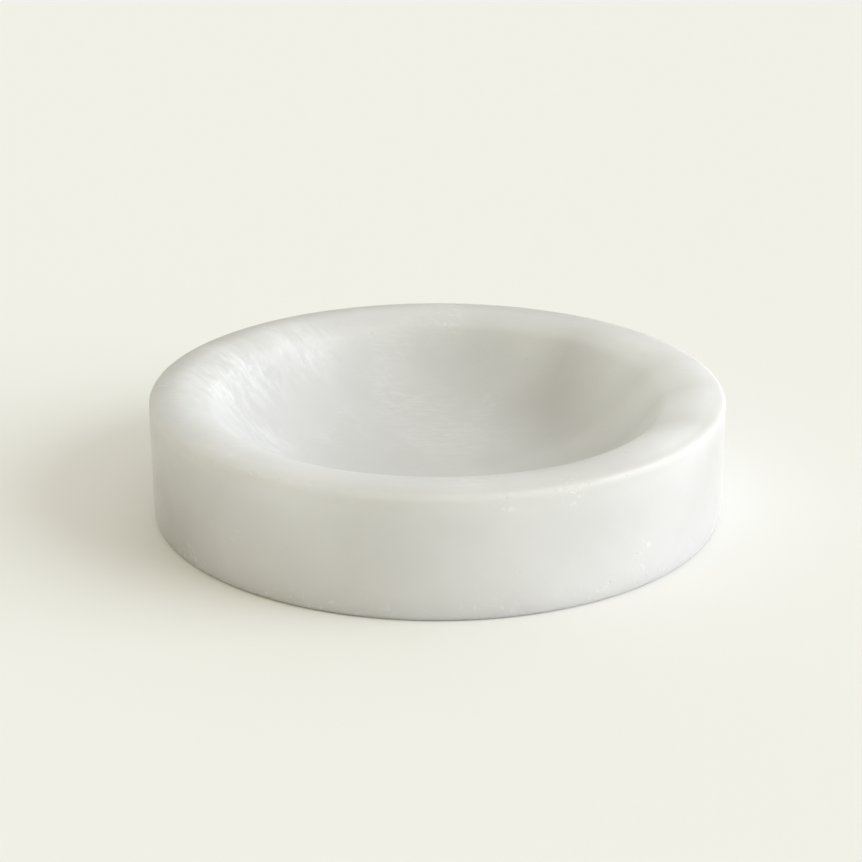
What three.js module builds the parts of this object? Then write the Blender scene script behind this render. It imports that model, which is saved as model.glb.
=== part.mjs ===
// Shaving soap puck: one hard disc of soap with a dished lathering hollow turned into its top face.
// Millimetres, +Z up. The origin is the centre of the flat base, so the puck stands on Z = 0.

import * as THREE from "three";

// Outside
const PUCK_DIAMETER = 80;
const PUCK_HEIGHT = 17.3; // base to the crown of the rim
const BASE_EDGE_RADIUS = 0.7; // rolled edge between the base and the wall
const TOP_EDGE_RADIUS = 0.9; // rolled edge between the wall and the rim

// Rim band around the hollow
const RIM_WIDTH = 7.9; // wall to where the lip starts to roll over
const RIM_RISE_ANGLE = 15; // degrees above the horizontal, where the band leaves the wall's edge
const RIM_FALL_ANGLE = 25; // degrees below the horizontal, where the band meets the lip
const LIP_RADIUS = 3.2; // rolled edge from the band down into the hollow

// Hollow
const HOLLOW_WALL_ANGLE = 51; // degrees below the horizontal, just under the lip
const FLOOR_THICKNESS = 4.3; // soap under the middle of the hollow

// Facets
const SEGMENTS_AROUND = 96;
const STEPS_PER_EDGE = 4;
const RIM_STEPS = 8;
const HOLLOW_STEPS = 15;

const QUARTER_TURN = Math.PI / 2;
const { degToRad } = THREE.MathUtils;

// Points of an arc about (centreRadius, centreHeight), with both ends. Angle 0 points away from the axis.
function arc(centreRadius, centreHeight, radius, fromAngle, toAngle) {
  return Array.from({ length: STEPS_PER_EDGE + 1 }, (_, step) => {
    const angle = fromAngle + ((toAngle - fromAngle) * step) / STEPS_PER_EDGE;
    return new THREE.Vector2(
      centreRadius + radius * Math.cos(angle),
      centreHeight + radius * Math.sin(angle),
    );
  });
}

// The crowned band's section is a parabola through its two end slopes, with its top at the puck's height.
// Returns where it starts, how wide it is, and its height at a distance inwards from its start.
function crownedBand() {
  const rise = Math.tan(degToRad(RIM_RISE_ANGLE));
  const fall = Math.tan(degToRad(RIM_FALL_ANGLE));
  const edgeCentre = PUCK_DIAMETER / 2 - TOP_EDGE_RADIUS;
  const startRadius = edgeCentre + TOP_EDGE_RADIUS * Math.sin(degToRad(RIM_RISE_ANGLE));
  const width = startRadius - (PUCK_DIAMETER / 2 - RIM_WIDTH);
  const startHeight = PUCK_HEIGHT - (width * rise ** 2) / (2 * (rise + fall));
  const heightAt = (inwards) => startHeight + rise * inwards - ((rise + fall) * inwards ** 2) / (2 * width);
  return { startRadius, width, heightAt };
}

// The vertical wall with its two rolled edges, from the base up to the band.
function wallOutline(band) {
  const outside = PUCK_DIAMETER / 2;
  const topAngle = QUARTER_TURN - degToRad(RIM_RISE_ANGLE);
  const topEdgeCentre = band.heightAt(0) - TOP_EDGE_RADIUS * Math.sin(topAngle);
  return [
    ...arc(outside - BASE_EDGE_RADIUS, BASE_EDGE_RADIUS, BASE_EDGE_RADIUS, -QUARTER_TURN, 0),
    ...arc(outside - TOP_EDGE_RADIUS, topEdgeCentre, TOP_EDGE_RADIUS, 0, topAngle),
  ];
}

function bandOutline(band) {
  return Array.from({ length: RIM_STEPS }, (_, step) => {
    const inwards = (band.width * (step + 1)) / RIM_STEPS;
    return new THREE.Vector2(band.startRadius - inwards, band.heightAt(inwards));
  });
}

// The lip turns the band's last slope into the slope of the hollow's wall, tangent to both.
function lipOutline(band) {
  const fall = degToRad(RIM_FALL_ANGLE);
  const centreRadius = band.startRadius - band.width + LIP_RADIUS * Math.sin(fall);
  const centreHeight = band.heightAt(band.width) - LIP_RADIUS * Math.cos(fall);
  const wallTurn = QUARTER_TURN + degToRad(HOLLOW_WALL_ANGLE);
  return arc(centreRadius, centreHeight, LIP_RADIUS, QUARTER_TURN + fall, wallTurn).slice(1);
}

// The hollow is a power curve: it leaves the lip at the wall's angle and lies level on the axis.
// The radii shrink along a quarter sine, so the steps are finest where the curve is steepest.
function hollowOutline(top) {
  const depth = top.y - FLOOR_THICKNESS;
  const power = (Math.tan(degToRad(HOLLOW_WALL_ANGLE)) * top.x) / depth;
  return Array.from({ length: HOLLOW_STEPS }, (_, step) => {
    const share = Math.sin(QUARTER_TURN * (1 - (step + 1) / HOLLOW_STEPS));
    return new THREE.Vector2(top.x * share, FLOOR_THICKNESS + depth * share ** power);
  });
}

function puckGeometry() {
  const band = crownedBand();
  const lip = lipOutline(band);
  const outline = [
    new THREE.Vector2(0, 0),
    ...wallOutline(band),
    ...bandOutline(band),
    ...lip,
    ...hollowOutline(lip[lip.length - 1]),
  ];
  return new THREE.LatheGeometry(outline, SEGMENTS_AROUND).rotateX(QUARTER_TURN);
}

const milkySoap = new THREE.MeshStandardMaterial({
  color: 0xe6e6df,
  roughness: 0.38,
  metalness: 0,
});

const soapPuck = new THREE.Mesh(puckGeometry(), milkySoap);
soapPuck.name = "soap_puck";

const shavingSoap = new THREE.Group();
shavingSoap.add(soapPuck);

export default shavingSoap;
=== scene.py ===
import math
import random

import bmesh
import bpy
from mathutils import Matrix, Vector


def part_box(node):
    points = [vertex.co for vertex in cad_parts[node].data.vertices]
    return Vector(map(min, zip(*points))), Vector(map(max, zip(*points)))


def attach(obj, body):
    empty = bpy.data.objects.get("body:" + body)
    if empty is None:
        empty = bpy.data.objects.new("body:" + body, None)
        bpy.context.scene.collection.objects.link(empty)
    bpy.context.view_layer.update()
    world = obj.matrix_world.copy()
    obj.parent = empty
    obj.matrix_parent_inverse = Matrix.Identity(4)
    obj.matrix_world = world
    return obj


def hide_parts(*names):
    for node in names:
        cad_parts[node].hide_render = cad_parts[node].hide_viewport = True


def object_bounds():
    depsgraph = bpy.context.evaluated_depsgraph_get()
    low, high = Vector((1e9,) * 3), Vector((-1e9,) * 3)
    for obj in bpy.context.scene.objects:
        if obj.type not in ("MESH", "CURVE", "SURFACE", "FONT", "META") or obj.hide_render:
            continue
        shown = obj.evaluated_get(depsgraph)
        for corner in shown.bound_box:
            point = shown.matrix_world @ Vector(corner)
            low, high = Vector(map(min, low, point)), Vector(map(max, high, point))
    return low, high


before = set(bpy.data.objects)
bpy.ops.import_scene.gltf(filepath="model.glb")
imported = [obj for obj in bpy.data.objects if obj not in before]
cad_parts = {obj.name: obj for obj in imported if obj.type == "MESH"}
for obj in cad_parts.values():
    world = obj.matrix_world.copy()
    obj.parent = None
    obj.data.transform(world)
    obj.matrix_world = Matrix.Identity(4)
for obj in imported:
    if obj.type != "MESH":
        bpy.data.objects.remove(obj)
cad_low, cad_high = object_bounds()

# ---------------------------------------------------------------------------------------------
# Camera. A long lens a little above the puck, as for a small object on a table: near enough to
# see into the hollow, and far enough that the round rim stays an even ellipse.
camera_distance = 0.28
camera_elevation = math.radians(22.71)
camera_lens_mm = 81.87
aim_point = Vector((-0.00088, 0, 0.01018))

bpy.ops.object.camera_add(location=(
    0,
    -camera_distance * math.cos(camera_elevation),
    camera_distance * math.sin(camera_elevation),
))
camera = bpy.context.object
camera.name = "camera"
camera.rotation_mode = "QUATERNION"
camera.rotation_quaternion = (aim_point - camera.location).to_track_quat("-Z", "Y")
camera.data.sensor_width = 36
camera.data.lens = camera_lens_mm
camera.data.clip_start = 0.01
bpy.context.scene.camera = camera

# ---------------------------------------------------------------------------------------------
# Table top. A matt cream sheet that runs on out of sight behind the puck, with no edge in view.
sheet_half_width = 6.0

bpy.ops.mesh.primitive_plane_add(size=2 * sheet_half_width, location=(0, 0, cad_low.z))
table_top = bpy.context.object
table_top.name = "table_top"

cream = bpy.data.materials.new("matt_cream_sheet")
cream.use_nodes = True
cream_shader = cream.node_tree.nodes["Principled BSDF"]
cream_shader.inputs["Base Color"].default_value = (0.94, 0.94, 0.935, 1)
cream_shader.inputs["Roughness"].default_value = 1.0
cream_shader.inputs["Specular IOR Level"].default_value = 0.0
table_top.data.materials.append(cream)

# ---------------------------------------------------------------------------------------------
# Light. One broad low window from the right and a little in front, in a pale room that is brighter
# and cooler behind the puck and to its right than in front of it.
window_elevation = math.radians(20)
window_azimuth = math.radians(-15)
window_width = math.radians(52)

bpy.ops.object.light_add(type="SUN", location=(0.5, -0.1, 0.2))
window = bpy.context.object
window.name = "window_light"
window.data.energy = 2.3
window.data.color = (0.92, 0.95, 1.0)
window.data.angle = window_width
window.rotation_mode = "QUATERNION"
window.rotation_quaternion = Vector((
    math.cos(window_elevation) * math.cos(window_azimuth),
    math.cos(window_elevation) * math.sin(window_azimuth),
    math.sin(window_elevation),
)).to_track_quat("Z", "Y")

room = bpy.data.worlds.new("pale_room")
bpy.context.scene.world = room
room.use_nodes = True
room.node_tree.nodes.clear()
nodes, links = room.node_tree.nodes, room.node_tree.links
direction = nodes.new("ShaderNodeTexCoord")
backwards = nodes.new("ShaderNodeVectorMath")
backwards.operation = "DOT_PRODUCT"
backwards.inputs[1].default_value = (0.5, 0.87, 0)
depth_share = nodes.new("ShaderNodeMapRange")
depth_share.inputs["From Min"].default_value = -1
depth_share.inputs["From Max"].default_value = 1
shade = nodes.new("ShaderNodeMix")
shade.data_type = "RGBA"
shade.inputs["A"].default_value = (0.58, 0.535, 0.37, 1)
shade.inputs["B"].default_value = (0.84, 0.85, 0.835, 1)
background = nodes.new("ShaderNodeBackground")
output = nodes.new("ShaderNodeOutputWorld")
links.new(direction.outputs["Generated"], backwards.inputs[0])
links.new(backwards.outputs["Value"], depth_share.inputs["Value"])
links.new(depth_share.outputs["Result"], shade.inputs["Factor"])
links.new(shade.outputs["Result"], background.inputs["Color"])
links.new(background.outputs["Background"], output.inputs["Surface"])

bpy.context.scene.view_settings.view_transform = "Standard"

# ---------------------------------------------------------------------------------------------
# Puck. One disc of hard soap. The blank is cast, its base and wall are faced, its edges are eased,
# and the crowned rim and the lathering hollow are cut ring by ring, as on a lathe.
base_point, top_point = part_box("soap_puck")
puck_radius = (top_point.x - base_point.x) / 2
rim_crown = top_point.z
base_edge = 0.0007
top_edge = 0.0009
rim_width = 0.0079
rim_rise = math.radians(15)
rim_fall = math.radians(25)
lip_radius = 0.0032
hollow_wall_angle = math.radians(51)
hollow_floor = base_point.z + 0.0043
facets = 112
guard_gap = 0.0004


def pick(kind, wanted):
    """Selects the faces or edges that the test wants on the piece in edit mode, and nothing else."""
    bpy.ops.mesh.select_mode(type=kind)
    bpy.ops.mesh.select_all(action="DESELECT")
    mesh = bpy.context.edit_object.data
    shape = bmesh.from_edit_mesh(mesh)
    for part in shape.faces if kind == "FACE" else shape.edges:
        if wanted(part):
            part.select_set(True)
    bmesh.update_edit_mesh(mesh)


# The band's section is a parabola through its two end slopes, with its top at the crown.
rise_slope, fall_slope = math.tan(rim_rise), math.tan(rim_fall)
band_start = puck_radius - top_edge + top_edge * math.sin(rim_rise)
band_width = band_start - (puck_radius - rim_width)
band_start_height = rim_crown - band_width * rise_slope ** 2 / (2 * (rise_slope + fall_slope))
top_edge_centre = band_start_height - top_edge * math.cos(rim_rise)

# The blank is a low disc, and its top ring is the wall's lower guard ring. Another lies close below the
# top edge. They keep the wall straight right up to both rolled edges when the mesh is smoothed.
blank_height = base_edge + guard_gap


def turned_rings():
    """The rings above the blank's, up the wall and then inwards, as (radius, height)."""
    wall_bottom, wall_top = base_point.z + blank_height, top_edge_centre - guard_gap
    rings = [(puck_radius, wall_bottom + (wall_top - wall_bottom) * step / 5) for step in range(1, 6)]
    rings.append((puck_radius, top_edge_centre))
    for step in range(1, 5):
        angle = (math.pi / 2 - rim_rise) * step / 4
        rings.append((puck_radius - top_edge + top_edge * math.cos(angle),
                      top_edge_centre + top_edge * math.sin(angle)))
    for share in (0.06, 0.22, 0.41, 0.6, 0.8, 1.0):
        inwards = band_width * share
        bow = (rise_slope + fall_slope) * inwards ** 2 / (2 * band_width)
        rings.append((band_start - inwards, band_start_height + rise_slope * inwards - bow))
    lip_centre = rings[-1][0] + lip_radius * math.sin(rim_fall)
    lip_centre_height = rings[-1][1] - lip_radius * math.cos(rim_fall)
    for step in range(1, 4):
        slope = rim_fall + (hollow_wall_angle - rim_fall) * step / 3
        rings.append((lip_centre - lip_radius * math.sin(slope),
                      lip_centre_height + lip_radius * math.cos(slope)))
    mouth_radius, mouth_height = rings[-1]
    depth = mouth_height - hollow_floor
    power = math.tan(hollow_wall_angle) * mouth_radius / depth
    for step in range(1, 14):
        share = math.sin(math.pi / 2 * (1 - step / 14))
        rings.append((mouth_radius * share, hollow_floor + depth * share ** power))
    return rings


bpy.ops.object.select_all(action="DESELECT")
bpy.ops.mesh.primitive_cylinder_add(
    vertices=facets, radius=puck_radius, depth=blank_height, end_fill_type="NGON",
    location=(0, 0, base_point.z + blank_height / 2),
)
puck = bpy.context.object
puck.name = "shaving_soap_puck"
bpy.ops.object.transform_apply(location=True, rotation=True, scale=True)
bpy.ops.object.mode_set(mode="EDIT")

near = 1e-5
pick("EDGE", lambda edge: all(v.co.z < base_point.z + near for v in edge.verts))
bpy.ops.mesh.bevel(offset=base_edge, segments=4, profile=0.5)
pick("FACE", lambda face: face.normal.z < -0.999 and len(face.verts) == facets)
for inset in (0.0009, 0.006, 0.014):
    bpy.ops.mesh.inset(thickness=inset)
bpy.ops.mesh.merge(type="CENTER")

pick("FACE", lambda face: face.normal.z > 0.999 and len(face.verts) == facets)
ring_radius, ring_height = puck_radius, base_point.z + blank_height
for radius, height in turned_rings():
    bpy.ops.mesh.extrude_region_move(TRANSFORM_OT_translate={"value": (0, 0, height - ring_height)})
    share = radius / ring_radius
    bpy.ops.transform.resize(value=(share, share, 1), center_override=(0, 0, height))
    ring_radius, ring_height = radius, height
bpy.ops.mesh.merge(type="CENTER")
bpy.ops.mesh.select_all(action="SELECT")
bpy.ops.mesh.normals_make_consistent(inside=False)
bpy.ops.object.mode_set(mode="OBJECT")

smoothing = puck.modifiers.new("smoothing", "SUBSURF")
smoothing.levels = smoothing.render_levels = 2
bpy.ops.object.modifier_apply(modifier="smoothing")

# Small chips where the two edges have knocked against things. Each is a lump of random shape,
# sunk a little way into the edge, and all of them are cut out of the puck together.
lumps = random.Random(41)
chips = [
    # round the puck (degrees), up the edge's curve (degrees), half length, half width, half depth
    ("top", -125.1, 52, 0.00062, 0.00030, 0.00024),
    ("top", -119.7, 55, 0.00052, 0.00024, 0.00020),
    ("top", -78.0, 12, 0.00036, 0.00026, 0.00018),
    ("top", -69.0, 24, 0.00042, 0.00026, 0.00020),
    ("top", -66.9, 34, 0.00040, 0.00020, 0.00018),
    ("top", -64.8, 22, 0.00034, 0.00026, 0.00018),
    ("top", -62.2, 38, 0.00046, 0.00018, 0.00015),
    ("base", -85.0, -40, 0.00042, 0.00026, 0.00022),
    ("base", -66.5, -35, 0.00038, 0.00022, 0.00020),
]
for sector in range(11):
    chips.append((
        "top", -52 + 23 * sector + lumps.uniform(-8, 8), lumps.uniform(20, 65),
        lumps.uniform(0.00018, 0.00045), lumps.uniform(0.00012, 0.00024), lumps.uniform(0.0001, 0.0002),
    ))
for sector in range(30):
    chips.append((
        "base", 12 * sector + lumps.uniform(-4.5, 4.5), lumps.uniform(-70, -5),
        lumps.uniform(0.00016, 0.00042), lumps.uniform(0.00012, 0.00024), lumps.uniform(0.0001, 0.0002),
    ))

bpy.ops.object.select_all(action="DESELECT")
chip_cutter = None
edge_curves = {"top": (top_edge, top_edge_centre), "base": (base_edge, base_point.z + base_edge)}
for number, (edge, around, up, half_length, half_width, half_depth) in enumerate(chips):
    edge_radius, edge_height = edge_curves[edge]
    lump_reach = edge_radius + 0.4 * half_depth
    outwards = puck_radius - edge_radius + lump_reach * math.cos(math.radians(up))
    bpy.ops.mesh.primitive_ico_sphere_add(
        subdivisions=2, radius=1, scale=(half_depth, half_length, half_width),
        location=(
            outwards * math.cos(math.radians(around)),
            outwards * math.sin(math.radians(around)),
            edge_height + lump_reach * math.sin(math.radians(up)),
        ),
        rotation=(0, math.radians(-up), math.radians(around)),
    )
    if chip_cutter is None:
        chip_cutter = bpy.context.object
        bpy.ops.object.mode_set(mode="EDIT")
    bpy.ops.transform.vertex_random(offset=0.35 * half_depth, seed=number)
bpy.ops.object.mode_set(mode="OBJECT")

bpy.ops.object.select_all(action="DESELECT")
bpy.context.view_layer.objects.active = puck
puck.select_set(True)
chipping = puck.modifiers.new("chipping", "BOOLEAN")
chipping.operation = "DIFFERENCE"
chipping.solver = "EXACT"
chipping.object = chip_cutter
bpy.ops.object.modifier_apply(modifier="chipping")
bpy.data.objects.remove(chip_cutter)
bpy.ops.object.shade_smooth_by_angle(angle=math.radians(35))

# The soap: milky all through, with clearer clouds, feathers of white crystal and a satin skin, and with
# painted light and painted shade in placed patches and along the top edge.
# The pattern runs in millimetres through the solid, so it is the same stuff on every side apart from those
# placed patches.
soap = bpy.data.materials.new("milky_soap")
soap.use_nodes = True
soap_nodes, soap_links = soap.node_tree.nodes, soap.node_tree.links
soap_shader = soap_nodes["Principled BSDF"]


def give(socket, value):
    """Puts a number, a colour or another node's output on a socket."""
    if isinstance(value, bpy.types.NodeSocket):
        soap_links.new(value, socket)
    else:
        socket.default_value = value


def worked_out(operation, first, second=0.0, third=0.0):
    """One step of arithmetic, by its name on the Math node."""
    step = soap_nodes.new("ShaderNodeMath")
    step.operation = operation
    for socket, value in zip(step.inputs, (first, second, third)):
        give(socket, value)
    return step.outputs["Value"]


def times(first, second):
    """One value taken another value's share of."""
    return worked_out("MULTIPLY", first, second)


def plus_share(total, value, share):
    """A total with a share of another value added to it."""
    return worked_out("MULTIPLY_ADD", value, share, total)


def largest(*shares):
    """The largest of several shares."""
    most = shares[0]
    for share in shares[1:]:
        most = worked_out("MAXIMUM", most, share)
    return most


def length_of(first, second):
    """How long the line is that goes so far one way and so far the other."""
    return worked_out("SQRT", worked_out("ADD", times(first, first), times(second, second)))


def fade(value, none_at, full_at):
    """A share that runs smoothly from 0 at one value to 1 at the other."""
    step = soap_nodes.new("ShaderNodeMapRange")
    step.interpolation_type = "SMOOTHSTEP"
    give(step.inputs["Value"], value)
    step.inputs["From Min"].default_value = none_at
    step.inputs["From Max"].default_value = full_at
    return step.outputs["Result"]


def noise(where, size, detail=2.0, roughness=0.5):
    """Soft noise whose lumps are about so many millimetres across."""
    lumpy = soap_nodes.new("ShaderNodeTexNoise")
    give(lumpy.inputs["Vector"], where)
    lumpy.inputs["Scale"].default_value = 1 / size
    lumpy.inputs["Detail"].default_value = detail
    lumpy.inputs["Roughness"].default_value = roughness
    return lumpy


def cloud(where, size, detail=2.0, roughness=0.5):
    """Soft noise as one value, about 0.5 on average."""
    return noise(where, size, detail, roughness).outputs["Fac"]


def blend(share, first, second):
    """A colour between two colours."""
    mix = soap_nodes.new("ShaderNodeMix")
    mix.data_type = "RGBA"
    give(mix.inputs["Factor"], share)
    give(mix.inputs["A"], first)
    give(mix.inputs["B"], second)
    return mix.outputs["Result"]


def shifted(where, size, detail, amount):
    """A place moved about by soft noise, by up to half so many millimetres each way."""
    centred = soap_nodes.new("ShaderNodeVectorMath")
    centred.operation = "SUBTRACT"
    give(centred.inputs[0], noise(where, size, detail).outputs["Color"])
    centred.inputs[1].default_value = (0.5, 0.5, 0.5)
    moved = soap_nodes.new("ShaderNodeVectorMath")
    moved.operation = "MULTIPLY_ADD"
    give(moved.inputs[0], centred.outputs["Vector"])
    moved.inputs[1].default_value = (amount, amount, amount)
    give(moved.inputs[2], where)
    return moved.outputs["Vector"]


def patch(where, around, radius, height, reach):
    """A soft round patch at an angle round the puck, a radius and a height, in degrees and millimetres."""
    gap = soap_nodes.new("ShaderNodeVectorMath")
    gap.operation = "DISTANCE"
    give(gap.inputs[0], where)
    turn = math.radians(around)
    gap.inputs[1].default_value = (radius * math.cos(turn), radius * math.sin(turn), height)
    return fade(gap.outputs["Value"], reach, 0.0)


def feathers(where, turn, length, width):
    """Noise drawn out into fibres that lie along a turn, given in degrees about X, Y and Z."""
    along = soap_nodes.new("ShaderNodeMapping")
    along.vector_type = "TEXTURE"
    give(along.inputs["Vector"], where)
    along.inputs["Rotation"].default_value = [math.radians(angle) for angle in turn]
    along.inputs["Scale"].default_value = (length, width, width)
    return cloud(along.outputs["Vector"], 1.0, detail=3.0, roughness=0.6)


object_place = soap_nodes.new("ShaderNodeTexCoord")
to_millimetres = soap_nodes.new("ShaderNodeMapping")
to_millimetres.inputs["Scale"].default_value = (1000, 1000, 1000)
give(to_millimetres.inputs["Vector"], object_place.outputs["Object"])
place = to_millimetres.outputs["Vector"]
split_place = soap_nodes.new("ShaderNodeSeparateXYZ")
give(split_place.inputs["Vector"], place)
across, back, height_mm = split_place.outputs
off_axis = length_of(across, back)
around_axis = worked_out("ARCTAN2", back, across)

# Where the arris lies, in millimetres: halfway round the rolled top edge.
arris_radius = 1000 * (puck_radius - top_edge + top_edge * math.cos(math.radians(45)))
arris_height = 1000 * (top_edge_centre + top_edge * math.sin(math.radians(45)))
edge_gap = length_of(
    worked_out("SUBTRACT", off_axis, arris_radius),
    worked_out("SUBTRACT", height_mm, arris_height),
)
on_wall = fade(off_axis, 38.0, 39.4)
near_base = times(fade(height_mm, 5.0, 0.5), on_wall)
# A side mask for the painted shade along the far left edge.
far_left_painted_shade = fade(worked_out("SUBTRACT", times(back, 0.9), times(across, 0.42)), -22.0, 36.0)
stirred = shifted(place, size=9.0, detail=2.0, amount=7.0)
wavering = shifted(place, size=5.0, detail=1.0, amount=2.2)

# Clouds: soft noise is the soap's own milky tone; the placed patches below are painted shade and painted
# light.
# Clearer, warmer soap in placed patches is painted shade: in the hollow at the back right, at the left lip,
# low on the front left wall and on the front right wall.
clear = largest(
    times(patch(stirred, 40, 22, 8, 12), 0.35),
    times(patch(place, 162, 31, 15, 14), 0.2),
    times(patch(stirred, -152, 41, 2, 17), 0.7),
    times(times(patch(stirred, -25, 43, 9, 16), on_wall), 0.35),
    # Painted shade along the far left edge, where the rounded edge turns away from the light.
    times(times(fade(edge_gap, 5.5, 0.5), far_left_painted_shade), 1.05),
    # Painted shade in a thin ring round the whole top edge, toning down its brightness.
    times(fade(edge_gap, 2.5, 0.3), 0.22),
)
# Denser, whiter milk in placed patches on the right and back right of the rim and lip is painted light, where
# light glowing through the thin rim brightens it.
dense_and_painted_light = largest(
    patch(place, 28, 31, 14, 15),
    patch(place, 8, 31, 15, 15),
    patch(place, -10, 33, 16, 14),
    times(patch(place, -36, 36, 17, 13), 0.9),
    times(patch(place, 60, 30, 14, 9), 0.5),
)
milkiness_with_painted_light_and_shade = plus_share(0.38, cloud(stirred, 13.0, detail=4.0, roughness=0.55), 0.34)
# The placed patches add painted light and painted shade to the milky tone; the painted light is weaker on the
# wall.
milkiness_with_painted_light_and_shade = plus_share(milkiness_with_painted_light_and_shade, times(dense_and_painted_light, plus_share(1.0, on_wall, -0.7)), 0.41)
# Painted light: whiter milk on the front left wall.
milkiness_with_painted_light_and_shade = plus_share(milkiness_with_painted_light_and_shade, patch(place, -118, 40, 13, 13), 0.2)
milkiness_with_painted_light_and_shade = plus_share(milkiness_with_painted_light_and_shade, clear, -0.55)
# The clear colour also serves as painted shade, and the milk colour as painted light.
clear_and_painted_shade_colour = (0.50, 0.494, 0.488, 1)
milk_and_painted_light_colour = (0.84, 0.851, 0.874, 1)
body_colour_with_painted_light_and_shade = blend(milkiness_with_painted_light_and_shade, clear_and_painted_shade_colour, milk_and_painted_light_colour)

# Feathers of white crystal: one set dips from the back left towards the front right, one lies level.
broad = fade(feathers(wavering, (0, 20, -38), 6.0, 1.6), 0.36, 0.66)
fine = fade(feathers(wavering, (0, 18, -42), 3.2, 0.75), 0.42, 0.74)
level = fade(feathers(wavering, (0, 0, 4), 4.0, 0.45), 0.44, 0.76)
left_wall = largest(
    patch(place, 174, 31, 15, 10),
    patch(place, 156, 31, 14, 11),
    times(patch(place, 132, 31, 15, 10), 0.8),
    times(patch(place, 180, 24, 9, 9), 0.7),
)
quiet_side = fade(across, 2.0, 20.0)
feather_beds = times(
    fade(cloud(stirred, 11.0), 0.42, 0.66),
    worked_out("SUBTRACT", 1.0, largest(quiet_side, on_wall)),
)
crystal = largest(
    times(plus_share(times(fine, 0.5), broad, 0.6), left_wall),
    times(plus_share(times(level, 0.4), fine, 0.2), feather_beds),
)

# Flecks: single grains that catch the light, thick in a few spots, near the base and on the edges.
fleck_spots = largest(
    times(near_base, fade(cloud(place, 4.0), 0.42, 0.62)),
    patch(place, 166, 33, 16, 3.5),
    patch(place, 152, 31, 16, 5.0),
    patch(place, 115, 32.7, 16, 3.0),
    patch(place, 88, 31, 15.5, 5.0),
    patch(place, -65, 39.6, 16, 3.6),
    patch(place, -78, 39.8, 15.6, 2.4),
    patch(place, -48, 40, 4.5, 4.0),
    times(fade(cloud(place, 7.0), 0.62, 0.74), fade(across, 10.0, -5.0)),
)
fleck = times(fade(cloud(wavering, 0.7, detail=1.5), 0.57, 0.72), fleck_spots)

# Edges: a painted highlight whitens the arris at the front right, where the window light is reflected, and
# rubbed spots whiten it lightly in stretches all round.
turn_from_middle = worked_out("ABSOLUTE", worked_out("SUBTRACT", around_axis, math.radians(-51)))
# Painted highlight: a white stretch of the arris centred 51 degrees towards the front right.
painted_highlight_stretch = fade(turn_from_middle, 0.19, 0.10)
rubbed_spots = times(fade(cloud(place, 3.5, detail=3.0), 0.56, 0.70), 0.25)
wear_and_painted_highlight = times(fade(edge_gap, 0.36, 0.08), largest(painted_highlight_stretch, rubbed_spots))

# Whiteness from crystal, flecks, rubbed wear and the painted highlight on the arris.
whiteness_and_painted_highlight = largest(times(crystal, 0.65), times(fleck, 0.4), times(wear_and_painted_highlight, 0.18))
crystal_white = (0.92, 0.935, 0.965, 1)
give(soap_shader.inputs["Base Color"], blend(whiteness_and_painted_highlight, body_colour_with_painted_light_and_shade, crystal_white))

# Skin: satin, glossier on the crystal and duller on the arris, with tiny pits, a low waviness from
# the hand finish and faint turning marks. Heights are in millimetres.
dullness = plus_share(0.26, cloud(place, 2.2, detail=4.0), 0.22)
dullness = plus_share(dullness, crystal, -0.1)
dullness = plus_share(dullness, fade(edge_gap, 1.4, 0.4), 0.2)
give(soap_shader.inputs["Roughness"], dullness)
pit_cells = soap_nodes.new("ShaderNodeTexVoronoi")
give(pit_cells.inputs["Vector"], place)
pit_cells.inputs["Scale"].default_value = 1 / 1.7
pit_random = soap_nodes.new("ShaderNodeSeparateColor")
give(pit_random.inputs["Color"], pit_cells.outputs["Color"])
pit = times(
    fade(pit_cells.outputs["Distance"], 0.13, 0.03),
    fade(plus_share(pit_random.outputs["Red"], near_base, 0.3), 0.84, 0.90),
)
turning_pitch = 0.8
turning = worked_out("SINE", plus_share(times(cloud(place, 6.0), 9.0), off_axis, 2 * math.pi / turning_pitch))
skin = times(cloud(place, 8.0, detail=1.0), 0.10)
skin = plus_share(skin, cloud(place, 0.9, detail=4.0, roughness=0.6), 0.013)
skin = plus_share(skin, turning, 0.0006)
skin = plus_share(skin, crystal, 0.008)
skin = plus_share(skin, fleck, 0.008)
skin = plus_share(skin, pit, -0.07)
relief = soap_nodes.new("ShaderNodeBump")
relief.inputs["Distance"].default_value = 0.001
give(relief.inputs["Height"], skin)
give(soap_shader.inputs["Normal"], relief.outputs["Normal"])

soap_shader.inputs["IOR"].default_value = 1.5
soap_shader.inputs["Subsurface Weight"].default_value = 1.0
soap_shader.inputs["Subsurface Radius"].default_value = (1.0, 1.0, 0.95)
soap_shader.inputs["Subsurface Scale"].default_value = 0.006
puck.data.materials.append(soap)

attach(puck, "root")
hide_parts("soap_puck")
